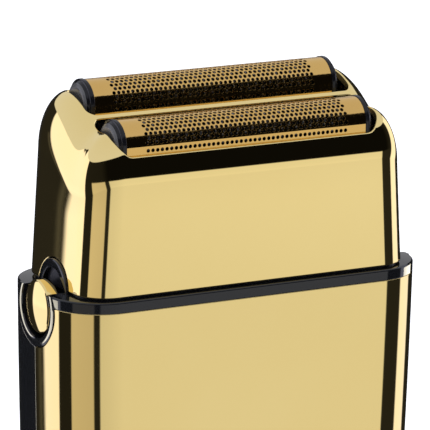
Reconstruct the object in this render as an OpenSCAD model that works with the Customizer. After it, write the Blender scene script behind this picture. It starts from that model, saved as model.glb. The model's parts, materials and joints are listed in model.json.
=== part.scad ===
// Cordless foil shaver for barbers: a flat, tapered handle with a lift-off head
// that holds two arched foils over two oscillating cutters.
// Frame: origin at the centre of the base, +Z up to the foils, -Y is the switch side.

/* [Handle] */
// Width of the handle at its top rim
body_w = 62; // [60:0.5:66]
// Depth of the handle at its top rim
body_d = 24.9; // [24.6:0.1:28]
// Height of the top of the rim above the base
rim_z = 84.5; // [84:0.5:100]
// How much narrower each side of the handle is at the base than at the rim
side_taper = 2.6; // [1.6:0.1:2.8]
// How much thinner the front and the back are at the base than at the rim
face_taper = 0.55; // [0.2:0.05:0.6]
// Plan radius of the handle's four upright corners
corner_r = 8.4; // [7.8:0.1:8.6]
// Wall thickness of the two handle shells
wall = 1.6; // [1.2:0.1:1.7]
// Height of the black rim band
rim_h = 1.7; // [1.5:0.1:2]
// Height of the base cap
cap_h = 3; // [2.5:0.1:3.2]

/* [Head] */
// Half-width of the head shell at its foot
head_hx = 27.9; // [27.6:0.1:28.2]
// Half-depth of the head shell at its foot
head_hy = 11.45; // [11.4:0.05:11.6]
// Plan radius of the head's upright corners
head_r = 5.1; // [4.9:0.1:5.4]
// Dark gap between the rim and the foot of the head shell
head_gap = 0.3; // [0.3:0.1:0.5]
// Wall thickness of the head shell
head_wall = 1.1; // [1:0.05:1.15]

/* [Foils] */
// Outer radius of each arched foil
foil_r = 3.6; // [3.55:0.01:3.65]
// Half-length of each foil
foil_hx = 20.35; // [20.3:0.05:20.4]
// Thickness of the foil sheet with its backing
foil_t = 0.25; // [0.2:0.01:0.25]
// Height of the front foil's axis above the rim
front_axis_h = 22.55; // [22.4:0.05:22.7]
// Height of the rear foil's axis above the rim
rear_axis_h = 26.7; // [26.6:0.05:26.8]
// How far each foil can be pushed in
foil_travel = 1.5; // [1:0.1:1.5]
// Stroke of each cutter to either side of the middle
cutter_stroke = 1.2; // [0.8:0.1:1.2]

/* [Buttons and switch] */
// Radius of the round release buttons
button_r = 4.09; // [4:0.01:4.2]
// Depth of a release button's centre below the top of the rim
button_drop = 2.74; // [2.7:0.02:2.8]
// How far the power switch slides
switch_travel = 5; // [4:0.5:5]

/* [Hidden] */
$fn = 64;

gold = [0.84, 0.70, 0.38];
black = [0.09, 0.09, 0.10];
dark_grey = [0.22, 0.22, 0.24];
steel = [0.72, 0.73, 0.75];
rubber_grey = [0.16, 0.16, 0.16];
board_green = [0.10, 0.36, 0.20];
cell_blue = [0.20, 0.34, 0.62];
ivory = [0.86, 0.85, 0.80];
lens_white = [0.85, 0.90, 0.95];
eps = 0.02;
run_gap = 0.05;

// Handle outline, worked out at any height.
body_hx = body_w / 2;
body_hy = body_d / 2;
rim_bottom = rim_z - rim_h;
function side_x(z) = body_hx - side_taper * (rim_z - z) / rim_z;
function face_y(z) = body_hy - face_taper * (rim_z - z) / rim_z;
step_h = 27;

// Buttons: the ring of the rim goes round each of them.
button_z = rim_z - button_drop;
button_face = body_hx + 0.2;
button_back = 28.7;
dome_r = 14;
ring_in_r = 4.68;
ring_out_r = 6.05;
ring_back = 27.3;
catch_x = 23.2;
catch_w = 0.9;
latch_z = 80.7;
latch_h = 2;
tab_x = 25;
tab_w = 1.2;
tab_hy = 2.4;

// Foil axes, and the slots in the head shell that the foils stand in.
front_y = -6.25;
rear_y = 4.15;
front_z = rim_z + front_axis_h;
rear_z = rim_z + rear_axis_h;
slot_hx = 22.6;
slot_r = 1.4;
front_slot = [-10.2, -1.8];
rear_slot = [-0.9, 8.1];
rail_in = 2.95;
rail_out = 3.7;
rail_top = 1.45;
rail_h = 3;
end_disc_w = 0.95;
end_cap_w = 2;
leg_hy = 3;
leg_foot = 94;

// Head shell: upright wall, shoulder and the two-lobed top.
head_foot = rim_z + head_gap;
head_lean = 0.05;
valley_w = 1.5;
face_lean = 0.01;
shoulder_x = 5;
shoulder_y = 4;
shoulder_z = 5;
front_lobe = [-6.2, 6, 24.35];
rear_lobe = [6.2, 11.8, 28.3];
arch_z = rim_z - 0.4;
arch_out = 4.7;
arch_in = 3.4;

// Drive train.
arm_z = 78;
arm_h = 3;
arm_hx = 9;
level_h = 1.3;
cam_throw = 0.9;
cam_pin_r = 0.8;
window_hx = 3;
window_hy = 1.8;
post_hx = 2;
post_hy = 1.5;
rod_r = 1;
rod_hx = 20.5;
rod_z = arm_z + arm_h / 2;
front_rod_y = -7.6;
rear_rod_y = 6.2;
blade_r = foil_r - foil_t - run_gap;
blade_hy = 2.85;
blade_t = 0.35;
blade_pitch = 1.25;
blade_count = 30;
holder_hx = 18.6;
holder_hy = 2.4;
holder_top = 3.2;
holder_h = 4.3;
socket_depth = 3.3;
post_gap = foil_travel + 0.2;
collar_drop = 13;
frame_plate_z = 74;
frame_plate_h = 2;
motor_r = 10;
motor_h = 26;
motor_z = frame_plate_z - motor_h;
shaft_r = 0.75;

// Lower half: battery, board, switch and socket.
cell_r = 7;
cell_len = 43;
cell_y = 2.9;
cell_z = [20, 34.6];
spine_y = -5.5;
spine_t = 1.1;
chassis_hx = 24;
chassis_z = 9;
chassis_top = 46;
screw_r = 0.9;
screw_hole_r = 0.95;
screw_head_r = 1.7;
boss_x = 21;
boss_z = [15, 40];
board_y = -6.9;
board_t = 1.2;
switch_z = 27;
switch_h = 13.6;
switch_hx = 4.8;
switch_face = 12.05;
switch_gap = 0.4;
led_z = 19;
socket_r = 3.5;
socket_bore_r = 2.8;
socket_pin_r = 1;
socket_stem_r = 0.8;
socket_floor = 9.9;
frame_post = [23, 8.6];

// ---- outlines -------------------------------------------------------------

// Closed outline of a rectangle with round corners. The two short sides carry
// extra points, so that a top that rises and falls along Y can follow them.
function corner(hx, hy, r, quadrant, steps) = [
    for (i = [0 : steps]) let (
        a = 90 * (quadrant + i / steps),
        sx = (quadrant == 0 || quadrant == 3) ? 1 : -1,
        sy = quadrant < 2 ? 1 : -1)
    [sx * (hx - r) + r * cos(a), sy * (hy - r) + r * sin(a)]];
function outline(hx, hy, r, steps = 8, extra = 0) = concat(
    corner(hx, hy, r, 0, steps),
    corner(hx, hy, r, 1, steps),
    [for (i = [1 : 1 : extra]) [-hx, (hy - r) * (1 - 2 * i / (extra + 1))]],
    corner(hx, hy, r, 2, steps),
    corner(hx, hy, r, 3, steps),
    [for (i = [1 : 1 : extra]) [hx, (hy - r) * (2 * i / (extra + 1) - 1)]]);

// Exact slab with a rounded-rectangle plan, standing on z.
module slab(hx, hy, r, z, h) {
    translate([0, 0, z]) linear_extrude(h) {
        square([2 * hx, 2 * (hy - r)], center = true);
        square([2 * (hx - r), 2 * hy], center = true);
        for (x = [-1, 1], y = [-1, 1]) translate([x * (hx - r), y * (hy - r)]) circle(r);
    }
}

// Box from its lowest and highest corners.
module block(low, high) {
    translate(low) cube(high - low);
}

// Box that is the same on both sides of X = 0.
module mid_block(hx, y0, y1, z0, z1) {
    block([-hx, y0, z0], [hx, y1, z1]);
}

// Solid through rings of equal length. The two end rings are closed by strips
// that join each point to its mirror image in X.
module loft(rings, steps = 8) {
    count = len(rings[0]);
    pairs = count / 2;
    last = (len(rings) - 1) * count;
    points = [for (ring = rings) each ring];
    sides = [for (k = [0 : len(rings) - 2], i = [0 : count - 1])
        [k * count + i, (k + 1) * count + i,
            (k + 1) * count + (i + 1) % count, k * count + (i + 1) % count]];
    bottom = [for (k = [0 : pairs - 2]) let (a = (steps - k + count) % count, b = steps + 1 + k)
        [a, (a - 1 + count) % count, b + 1, b]];
    top = [for (k = [0 : pairs - 2]) let (a = (steps - k + count) % count, b = steps + 1 + k)
        [last + b, last + b + 1, last + (a - 1 + count) % count, last + a]];
    polyhedron(points, concat(sides, bottom, top), convexity = 6);
}

// Tapered solid of the handle.
module handle_solid(z0, z1) {
    loft([for (z = [z0, z1]) [for (p = outline(side_x(z), face_y(z), corner_r))
        [p[0], p[1], z]]]);
}

// Room inside the handle, in three steps that follow the taper.
module handle_cavity() {
    for (i = [0 : 2]) let (z = cap_h + i * step_h)
        slab(side_x(z) - wall, face_y(z) - wall, corner_r - wall, i == 0 ? z - 1 : z,
            step_h + (i == 1 ? 1 : 0) + (i == 2 ? 20 : 1));
}

// Coil spring drawn as a stack of closed rings along Z.
module spring(r, wire, length, turns) {
    pitch = (length - 2 * wire) / (turns - 1);
    for (i = [0 : turns - 1]) translate([0, 0, wire + i * pitch])
        rotate_extrude() translate([r, 0]) circle(wire, $fn = 16);
    for (a = [0, 180]) rotate([0, 0, a]) translate([r, 0, wire])
        cylinder(h = length - 2 * wire, r = wire * 0.7, $fn = 16);
}

// Cylinder along Y from y0 to y1.
module rod_y(r, x, z, y0, y1) {
    translate([x, y0, z]) rotate([-90, 0, 0]) cylinder(h = y1 - y0, r = r);
}

// Cylinder along X from x0 to x1. Its seam is turned off the middle plane.
module rod_x(r, y, z, x0, x1) {
    translate([x0, y, z]) rotate([45, 0, 0]) rotate([0, 90, 0]) cylinder(h = x1 - x0, r = r);
}

// Half-round outline with straight sides that go down by drop.
module arch_outline(r, drop) {
    intersection() {
        circle(r);
        translate([-r, 0]) square([2 * r, r]);
    }
    translate([-r, -drop]) square([2 * r, drop]);
}

// Runs an outline drawn in Y and Z along X, from x0 to x1.
module along_x(y, z, x0, x1) {
    translate([x0, y, z]) rotate([90, 0, 90]) linear_extrude(x1 - x0) children();
}

// Pan-head screw that points up, with its head on z and its shank above.
module screw_up(x, y, z, head_h, shank_h) {
    translate([x, y, z - head_h]) cylinder(h = head_h, r = screw_head_r);
    translate([x, y, z - eps]) cylinder(h = shank_h, r = screw_r);
}

// ---- handle ---------------------------------------------------------------

// One hollow half of the handle. side is -1 for the front and 1 for the back.
module half_shell(side) {
    difference() {
        handle_solid(cap_h, rim_bottom);
        handle_cavity();
        translate([-50, side > 0 ? -60 : 0, -1]) cube([100, 60, 110]);
        for (x = [-40, ring_back]) rod_x(ring_out_r, 0, button_z, x, x + 40 - ring_back);
    }
}

module front_shell() {
    color(gold) difference() {
        union() {
            half_shell(-1);
            for (x = [-boss_x, boss_x], z = boss_z) rod_y(2.6, x, z, -10.2, spine_y);
        }
        for (x = [-boss_x, boss_x], z = boss_z) rod_y(screw_hole_r, x, z, -9.4, spine_y + 1);
        mid_block(switch_hx + switch_gap, -20, -9, switch_z - switch_gap,
            switch_z + switch_h + switch_travel + switch_gap);
        rod_y(1.25, 0, led_z, -20, -9);
    }
}

module rear_shell() {
    color(black) half_shell(1);
}

// Black deck that closes the handle, with a ring round each release button.
module top_rim() {
    color(black) difference() {
        union() {
            handle_solid(rim_bottom, rim_z);
            for (x = [-body_hx, ring_back])
                rod_x(ring_out_r, 0, button_z, x, x + body_hx - ring_back);
        }
        for (x = [-40, ring_back - 0.4])
            rod_x(ring_in_r, 0, button_z, x, x + 40.4 - ring_back);
        translate([-50, -20, rim_z]) cube([100, 40, 10]);
        mid_block(arm_hx, -8.6, 6.5, rim_bottom - 1, rim_z + 1);
        for (x = [-tab_x - tab_w / 2, tab_x + tab_w / 2])
            block([x - tab_w / 2 - 0.2, -tab_hy - 0.2, rim_bottom - 1],
                [x + tab_w / 2 + 0.2, tab_hy + 0.2, rim_z + 1]);
        for (x = [-1, 1], y = [-1, 1])
            translate([x * frame_post[0], y * frame_post[1], rim_bottom - 1])
                cylinder(h = 2.2, r = screw_hole_r);
    }
}

// Bottom cover with its rolled edge, spigot and two screw pillars.
module base_cap() {
    color(black) difference() {
        union() {
            loft([for (s = [[0, 1.3], [0.35, 0.6], [0.9, 0.2], [1.8, 0], [cap_h, 0]])
                [for (p = outline(side_x(s[0]) - s[1], face_y(s[0]) - s[1], corner_r - s[1]))
                    [p[0], p[1], s[0]]]]);
            difference() {
                slab(side_x(cap_h) - wall - run_gap, face_y(cap_h) - wall - run_gap,
                    corner_r - wall - run_gap, cap_h - 1.2, 4.2);
                slab(side_x(cap_h) - wall - 1.2, face_y(cap_h) - wall - 1.2,
                    corner_r - wall - 1.2, cap_h, 6);
            }
            for (x = [-15, 15]) translate([x, 2, 1]) cylinder(h = chassis_z - 1, r = 2.4);
        }
        translate([0, 0, -1]) cylinder(h = 10, r = socket_r + 0.02);
        for (x = [-15, 15]) translate([x, 2, -1]) {
            cylinder(h = 3, r = screw_head_r + 0.2);
            cylinder(h = 20, r = screw_hole_r);
        }
    }
}

module base_screws() {
    color(steel) for (x = [-15, 15]) screw_up(x, 2, 2, 1.2, 9);
}

// ---- lower internals ------------------------------------------------------

// Moulded cradle for the cells, with a spine that the board is fixed to.
module chassis() {
    color(dark_grey) difference() {
        union() {
            mid_block(chassis_hx, spine_y, spine_y + spine_t, chassis_z, chassis_top);
            mid_block(chassis_hx, spine_y, 7.5, chassis_z, chassis_z + 2.5);
            mid_block(chassis_hx - 1, spine_y, 8, chassis_top - 2, chassis_top);
            for (x = [-23.2, 21.7]) block([x, -1, chassis_z], [x + 1.5, 7, chassis_top]);
        }
        translate([0, 0, 1]) cylinder(h = 20, r = socket_r + 0.1);
        for (x = [-15, 15]) translate([x, 2, 1]) cylinder(h = 15, r = screw_hole_r);
        for (x = [-boss_x, boss_x], z = boss_z) rod_y(screw_hole_r, x, z, -7, -3);
    }
}

module chassis_screws() {
    color(steel) for (x = [-boss_x, boss_x], z = boss_z) {
        rod_y(screw_head_r, x, z, spine_y + spine_t, spine_y + spine_t + 1.2);
        rod_y(screw_r, x, z, -9.2, spine_y + spine_t + 0.5);
    }
}

module battery_cells() {
    color(cell_blue) for (z = cell_z) {
        rod_x(cell_r, cell_y, z, -cell_len / 2, cell_len / 2 - 0.8);
        rod_x(2.6, cell_y, z, cell_len / 2 - 1, cell_len / 2);
    }
}

// Nickel strips that join the two cells at their ends.
module battery_tabs() {
    color(steel) for (x = [-cell_len / 2 - 0.2, cell_len / 2])
        block([x, cell_y - 2.4, cell_z[0] - 3], [x + 0.2, cell_y + 2.4, cell_z[1] + 3]);
}

module circuit_board() {
    color(board_green) {
        mid_block(17, board_y, board_y + board_t, 12, 45.5);
        block([6.5, board_y - 1.6, 24], [12.5, board_y + eps, 30]);
        block([-13, board_y - 2, 33], [-8, board_y + eps, 41]);
    }
}

module switch_unit() {
    color(dark_grey) mid_block(4, -8.2, board_y, 29, 43);
}

// Tray behind the switch slot, which the slider runs on.
module switch_bezel() {
    color(black) difference() {
        mid_block(6.4, -10.3, -9.7, switch_z - 1.5, switch_z + switch_h + switch_travel + 1.4);
        mid_block(1.4, -11, -9, 31.8, 35.2 + switch_travel);
    }
}

// Thumb slider with cross ribs, in its lower (off) place.
module switch_slider() {
    rib_count = 7;
    rib_pitch = 1.5;
    rib_start = switch_z + (switch_h - (rib_count - 1) * rib_pitch) / 2;
    color(black) {
        mid_block(switch_hx, -switch_face, -10.4, switch_z, switch_z + switch_h);
        for (i = [0 : rib_count - 1])
            rod_x(0.35, -switch_face, rib_start + i * rib_pitch, -switch_hx + 1, switch_hx - 1);
        mid_block(1.2, -10.5, -8.4, 32, 35);
    }
}

module power_led() {
    color(lens_white) {
        rod_y(1.2, 0, led_z, -face_y(led_z), -9);
        rod_y(1.9, 0, led_z, -10, board_y);
    }
}

module charging_socket() {
    color(black) difference() {
        translate([0, 0, 0.4]) cylinder(h = 11, r = socket_r);
        translate([0, 0, -1]) cylinder(h = socket_floor + 1, r = socket_bore_r);
        translate([0, 0, 5]) cylinder(h = 10, r = socket_stem_r);
    }
}

module charging_pin() {
    color(steel) {
        translate([0, 0, 1.4]) cylinder(h = socket_floor - 1.4, r = socket_pin_r);
        translate([0, 0, socket_floor - eps]) cylinder(h = 1.5 + eps, r = socket_stem_r);
    }
}

// ---- drive ----------------------------------------------------------------

module motor() {
    color(steel) difference() {
        union() {
            translate([0, 0, motor_z]) cylinder(h = motor_h, r = motor_r);
            translate([0, 0, frame_plate_z - 1]) cylinder(h = 2.4, r = 3);
        }
        translate([0, 0, motor_z + 4]) cylinder(h = motor_h, r = shaft_r + run_gap);
        for (x = [-6.5, 6.5]) translate([x, 0, frame_plate_z - 2.6])
            cylinder(h = 5, r = screw_hole_r);
    }
}

module motor_pad() {
    color(rubber_grey) difference() {
        translate([0, 0, chassis_top]) cylinder(h = motor_z - chassis_top, r = 9);
        translate([0, 0, chassis_top - 1]) cylinder(h = 5, r = 4);
    }
}

// Carriage under the deck: it holds the motor and the guide rods.
module motor_frame() {
    color(dark_grey) difference() {
        union() {
            slab(27, 10, 6, frame_plate_z, frame_plate_h);
            for (x = [-rod_hx, rod_hx - 2])
                block([x, -9.2, frame_plate_z], [x + 2, 8.2, rim_bottom]);
            for (x = [-1, 1], y = [-1, 1])
                translate([x * frame_post[0], y * frame_post[1], frame_plate_z])
                    cylinder(h = rim_bottom - frame_plate_z, r = 1.8);
        }
        translate([0, 0, frame_plate_z - 1]) cylinder(h = 5, r = 3.05);
        for (x = [-6.5, 6.5]) translate([x, 0, frame_plate_z - 1])
            cylinder(h = 5, r = screw_hole_r);
        for (y = [front_rod_y, rear_rod_y]) rod_x(rod_r, y, rod_z, -rod_hx - 0.2, rod_hx + 0.2);
        for (x = [-1, 1], y = [-1, 1])
            translate([x * frame_post[0], y * frame_post[1], frame_plate_z - 1])
                cylinder(h = 12, r = screw_hole_r);
    }
}

module motor_screws() {
    top = frame_plate_z + frame_plate_h;
    color(steel) for (x = [-6.5, 6.5]) {
        translate([x, 0, top]) cylinder(h = 1.2, r = screw_head_r);
        translate([x, 0, top - 4.2]) cylinder(h = 4.3, r = screw_r);
    }
}

module frame_screws() {
    color(steel) for (x = [-1, 1], y = [-1, 1])
        screw_up(x * frame_post[0], y * frame_post[1], frame_plate_z, 1.2, 9.8);
}

module guide_rods() {
    color(steel) for (y = [front_rod_y, rear_rod_y]) rod_x(rod_r, y, rod_z, -rod_hx, rod_hx);
}

// Rubber sheet in the deck, with a slot for each drive post.
module drive_seal() {
    color(rubber_grey) difference() {
        mid_block(arm_hx, -8.6, 6.5, rim_bottom + 0.2, rim_z - 0.3);
        for (y = [front_y, rear_y])
            mid_block(post_hx + cutter_stroke + 0.2, y - post_hy - 0.2, y + post_hy + 0.2,
                rim_bottom - 1, rim_z + 1);
    }
}

module motor_shaft() {
    color(steel) translate([0, 0, motor_z + 4.5]) cylinder(h = 77.5 - motor_z - 4.5, r = shaft_r);
}

// Hub with two crank pins on opposite sides, one above the other.
module eccentric_cam() {
    color(ivory) difference() {
        union() {
            translate([0, 0, 76.2]) cylinder(h = 1.5, r = 2.2);
            translate([cam_throw, 0, 77.6]) cylinder(h = 1.9, r = cam_pin_r);
            translate([0, 0, 79.4]) cylinder(h = 0.2, r = cam_throw + cam_pin_r + 0.04);
            translate([-cam_throw, 0, 79.5]) cylinder(h = 1.6, r = cam_pin_r);
        }
        translate([0, 0, 70]) cylinder(h = 7.5, r = shaft_r);
    }
}

// Slider on a guide rod. y is its cutter's axis and rod_y0 its rod; the window
// that the crank pin turns in is at the lower or the upper level of the arm.
module drive_arm(y, rod_y0, y_low, y_high, window_y, level_z, axis_z) {
    color(ivory) difference() {
        union() {
            mid_block(arm_hx, y_low, y_high, arm_z, arm_z + arm_h);
            mid_block(window_hx + 1.2, window_y[0], window_y[1], level_z, level_z + level_h);
            mid_block(post_hx, y - post_hy, y + post_hy, arm_z + 1, axis_z - holder_top
                - holder_h + socket_depth - post_gap);
            translate([0, y, axis_z - collar_drop]) cylinder(h = 1, r = 3.1);
        }
        rod_x(rod_r + run_gap, rod_y0, rod_z, -30, 30);
        mid_block(window_hx, -window_hy, window_hy, level_z - 1, level_z + level_h + 1);
    }
}

module drive_arm_front() {
    drive_arm(front_y, front_rod_y, -9.3, -3.1, [-3.5, 2.6], arm_z, front_z);
}

module drive_arm_rear() {
    drive_arm(rear_y, rear_rod_y, 3, 8, [-2.6, 3.5], arm_z + arm_h - level_h, rear_z);
}

// Spring round a drive post, between its collar and the cutter's holder.
module cutter_spring(y, z) {
    color(steel) translate([0, y, z - collar_drop + 1])
        spring(2.8, 0.2, collar_drop - 1 - holder_top - holder_h, 5);
}

module cutter_spring_front() {
    cutter_spring(front_y, front_z);
}

module cutter_spring_rear() {
    cutter_spring(rear_y, rear_z);
}

// Plastic holder with a socket that takes the tip of the drive post.
module cutter_holder(y, z) {
    foot = z - holder_top - holder_h;
    color(ivory) difference() {
        mid_block(holder_hx, y - holder_hy, y + holder_hy, foot, z - holder_top);
        mid_block(post_hx + run_gap, y - post_hy - run_gap, y + post_hy + run_gap,
            foot - 1, foot + socket_depth);
    }
}

module cutter_holder_front() {
    cutter_holder(front_y, front_z);
}

module cutter_holder_rear() {
    cutter_holder(rear_y, rear_z);
}

// Row of thin round-topped blades on a spine, just clear of the foil.
module cutter_blades(y, z) {
    color(steel) {
        mid_block(holder_hx - 0.2, y - 1.6, y + 1.6, z - holder_top, z + 1.6);
        intersection() {
            for (i = [0 : blade_count - 1])
                rod_x(blade_r, y, z, (i - (blade_count - 1) / 2) * blade_pitch - blade_t / 2,
                    (i - (blade_count - 1) / 2) * blade_pitch + blade_t / 2);
            mid_block(holder_hx, y - blade_hy, y + blade_hy, z - 2.6, z + 5);
        }
    }
}

module cutter_blades_front() {
    cutter_blades(front_y, front_z);
}

module cutter_blades_rear() {
    cutter_blades(rear_y, rear_z);
}

// ---- release buttons ------------------------------------------------------

// Round button with a domed face, two rails and the catch bar that holds the head's tab.
module release_button() {
    color(gold) {
        intersection() {
            rod_x(button_r, 0, button_z, button_back, button_face + 1);
            translate([button_face - dome_r, 0, button_z]) sphere(dome_r, $fn = 96);
        }
        for (y = [-3.6, 2.8])
            block([catch_x, y, latch_z], [button_back + 0.5, y + 0.8, latch_z + latch_h]);
        block([catch_x, -3.6, latch_z], [catch_x + catch_w, 3.6, latch_z + latch_h]);
    }
}

module release_button_right() {
    release_button();
}

module release_button_left() {
    mirror([1, 0, 0]) release_button();
}

module button_spring_right() {
    color(steel) translate([rod_hx, 0, latch_z + latch_h / 2]) rotate([0, 90, 0])
        spring(0.75, 0.15, catch_x - rod_hx, 4);
}

module button_spring_left() {
    mirror([1, 0, 0]) button_spring_right();
}

// ---- head -----------------------------------------------------------------

// Height of the head's top: two round lobes that run smoothly into each other.
function lobe(l, y) = l[2] - l[1] + sqrt(max(0.1, l[1] * l[1] - (y - l[0]) * (y - l[0])));
function head_top(y) = let (a = lobe(front_lobe, y), b = lobe(rear_lobe, y))
    rim_z + max(a, b) + valley_w * ln(1 + exp(-abs(a - b) / valley_w));

// Ring of the head's outer or inner skin. turn runs from 0, where the shoulder
// leaves the upright wall, to 90, where it meets the top.
function shoulder_ring(inset, turn, drop, foot) = let (
        s = 1 - cos(turn),
        lean = head_lean * 18,
        hx = head_hx - lean - inset - shoulder_x * s,
        hy = head_hy - face_lean * 18 - inset - shoulder_y * s,
        r = max(0.6, head_r - inset - (shoulder_x + shoulder_y) / 2 * s))
    [for (p = outline(hx, hy, r, 8, 9))
        [p[0], p[1], max(foot, head_top(p[1]) - drop - shoulder_z * (1 - sin(turn)))]];
function wall_ring(inset, z) = [for (p = outline(
        head_hx - head_lean * max(0, z - head_foot) - inset,
        head_hy - face_lean * max(0, z - head_foot) - inset, head_r - inset, 8, 9))
    [p[0], p[1], z]];

module head_solid(inset, drop, foot) {
    loft(concat([wall_ring(inset, foot)],
        [for (turn = [0 : 15 : 90]) shoulder_ring(inset, turn, drop, foot + 1)]));
}

// Round-cornered slot through the head's top.
module foil_slot(range) {
    mid_y = (range[0] + range[1]) / 2;
    half = (range[1] - range[0]) / 2;
    translate([0, mid_y, 0]) slab(slot_hx, half, slot_r, rim_z + 14, 30);
}

module arch_hole(x0, r, grow) {
    for (x = [-40, x0]) rod_x(r + grow, 0, arch_z, x, x + 40 - x0);
}

module head_shell() {
    color(gold) difference() {
        head_solid(0, 0, head_foot);
        head_solid(head_wall, 1.3, head_foot - 3);
        foil_slot(front_slot);
        foil_slot(rear_slot);
        arch_hole(24, arch_out, 0.02);
    }
}

// Black inner frame: foot flange, skirt, spring ledges, guide towers, the two
// arched trims and the latch tabs.
module head_frame() {
    flange_hx = head_hx - 0.5;
    flange_hy = head_hy - 0.45;
    skirt_hx = head_hx - head_wall - 0.35;
    skirt_hy = head_hy - head_wall - 0.15;
    ledge_x = 20.1;
    tower_x = 22.65;
    color(black) difference() {
        union() {
            difference() {
                union() {
                    slab(flange_hx, flange_hy, head_r - 0.4, rim_z, head_gap);
                    slab(skirt_hx, skirt_hy, head_r - head_wall - 0.1, rim_z, 4.8);
                }
                slab(skirt_hx - 1.2, skirt_hy - 0.7, head_r - head_wall - 1, rim_z - 1, 10);
            }
            for (x = [-1, 1]) scale_x(x) {
                intersection() {
                    slab(skirt_hx - 0.6, skirt_hy - 0.3, head_r - head_wall - 0.4, 87.6, 1.7);
                    block([ledge_x, -20, 80], [40, 20, 100]);
                }
                block([tower_x, -8.3, 89], [tower_x + 1.2, 8.3, 101.5]);
                block([tab_x, -tab_hy, 79.6], [tab_x + tab_w, tab_hy, 88]);
                block([catch_x + catch_w + 0.1, -tab_hy, 79.6], [tab_x + eps, tab_hy, 80.5]);
                intersection() {
                    rod_x(arch_out, 0, arch_z, tab_x, head_hx + 0.15);
                    block([0, -10, rim_z], [40, 10, 95]);
                }
            }
        }
        for (x = [-40, 27.35]) {
            rod_x(arch_in, 0, arch_z + 0.2, x, x + 40 - 27.35);
            block([x, -3.3, rim_z - 1], [x + 40 - 27.35, 3.3, rim_z + 1]);
        }
    }
}

// Mirrors its children to the left side when side is -1.
module scale_x(side) {
    mirror([side < 0 ? 1 : 0, 0, 0]) children();
}

// Holder of one foil: a round cap at each end, two rails under the foil's
// edges, and a leg at each end that stands on a spring.
module foil_carrier(y, z) {
    inner = foil_hx + 0.05;
    color(black) {
        for (side = [-1, 1]) scale_x(side) {
            along_x(y, z, inner, inner + end_disc_w) arch_outline(foil_r + 0.1, rail_top);
            along_x(y, z, inner + end_disc_w - eps, inner + end_cap_w - 0.3)
                arch_outline(foil_r - 0.4, rail_top);
            along_x(y, z, inner + end_cap_w - 0.3 - eps, inner + end_cap_w)
                arch_outline(foil_r - 0.9, rail_top);
            block([inner, y - rail_out, z - rail_top - rail_h],
                [inner + end_disc_w, y + rail_out, z - rail_top + eps]);
            block([inner, y - leg_hy, leg_foot],
                [inner + end_cap_w, y + leg_hy, z - rail_top + eps]);
        }
        for (a = [-rail_out, rail_in])
            mid_block(inner + eps, y + a, y + a + rail_out - rail_in, z - rail_top - rail_h,
                z - rail_top);
    }
}

module foil_carrier_front() {
    foil_carrier(front_y, front_z);
}

module foil_carrier_rear() {
    foil_carrier(rear_y, rear_z);
}

// Arched foil sheet, with straight sides that stand on the carrier's rails.
module foil(y, z) {
    color(gold) difference() {
        along_x(y, z, -foil_hx, foil_hx) arch_outline(foil_r, rail_top);
        along_x(y, z, -30, 30) arch_outline(foil_r - foil_t, rail_top + 1);
    }
}

module foil_front() {
    foil(front_y, front_z);
}

module foil_rear() {
    foil(rear_y, rear_z);
}

module foil_springs(y) {
    color(steel) for (x = [-21.4, 21.4])
        translate([x, y, 89.3]) spring(0.8, 0.15, leg_foot - 89.3, 6);
}

module foil_spring_front() {
    foil_springs(front_y);
}

module foil_spring_rear() {
    foil_springs(rear_y);
}

front_shell();
rear_shell();
top_rim();
base_cap();
base_screws();
chassis();
chassis_screws();
battery_cells();
battery_tabs();
circuit_board();
switch_unit();
switch_bezel();
switch_slider();
power_led();
charging_socket();
charging_pin();
motor();
motor_pad();
motor_frame();
motor_screws();
frame_screws();
guide_rods();
drive_seal();
motor_shaft();
eccentric_cam();
drive_arm_front();
drive_arm_rear();
cutter_spring_front();
cutter_spring_rear();
cutter_holder_front();
cutter_holder_rear();
cutter_blades_front();
cutter_blades_rear();
release_button_left();
release_button_right();
button_spring_left();
button_spring_right();
head_shell();
head_frame();
foil_carrier_front();
foil_carrier_rear();
foil_front();
foil_rear();
foil_spring_front();
foil_spring_rear();
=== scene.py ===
"""Visual model of a two-foil shaver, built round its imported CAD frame."""

import json
import math

import bpy
import numpy as np
from mathutils import Matrix, Vector, geometry, kdtree

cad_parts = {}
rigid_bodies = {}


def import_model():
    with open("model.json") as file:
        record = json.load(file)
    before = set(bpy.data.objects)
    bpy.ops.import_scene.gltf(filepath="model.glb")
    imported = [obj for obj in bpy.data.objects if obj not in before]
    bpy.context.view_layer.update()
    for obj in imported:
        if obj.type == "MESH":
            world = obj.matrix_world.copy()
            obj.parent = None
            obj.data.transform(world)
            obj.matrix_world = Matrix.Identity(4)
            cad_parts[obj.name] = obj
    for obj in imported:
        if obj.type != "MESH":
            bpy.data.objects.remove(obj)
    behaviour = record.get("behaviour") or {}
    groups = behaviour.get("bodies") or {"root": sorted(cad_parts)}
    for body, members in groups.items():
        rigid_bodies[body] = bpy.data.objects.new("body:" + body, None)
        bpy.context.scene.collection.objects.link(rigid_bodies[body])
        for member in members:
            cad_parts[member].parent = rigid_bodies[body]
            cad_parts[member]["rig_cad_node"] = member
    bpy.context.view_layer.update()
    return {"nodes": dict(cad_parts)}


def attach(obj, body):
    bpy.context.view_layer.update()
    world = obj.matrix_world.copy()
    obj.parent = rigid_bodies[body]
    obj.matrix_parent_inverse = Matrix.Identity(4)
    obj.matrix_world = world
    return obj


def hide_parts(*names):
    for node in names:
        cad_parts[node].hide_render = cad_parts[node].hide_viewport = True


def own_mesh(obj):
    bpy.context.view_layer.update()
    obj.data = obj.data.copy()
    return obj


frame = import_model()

MM = 0.001
WELD = 2e-4

# ---- sizes, in millimetres, as in the CAD source ---------------------------

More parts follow.
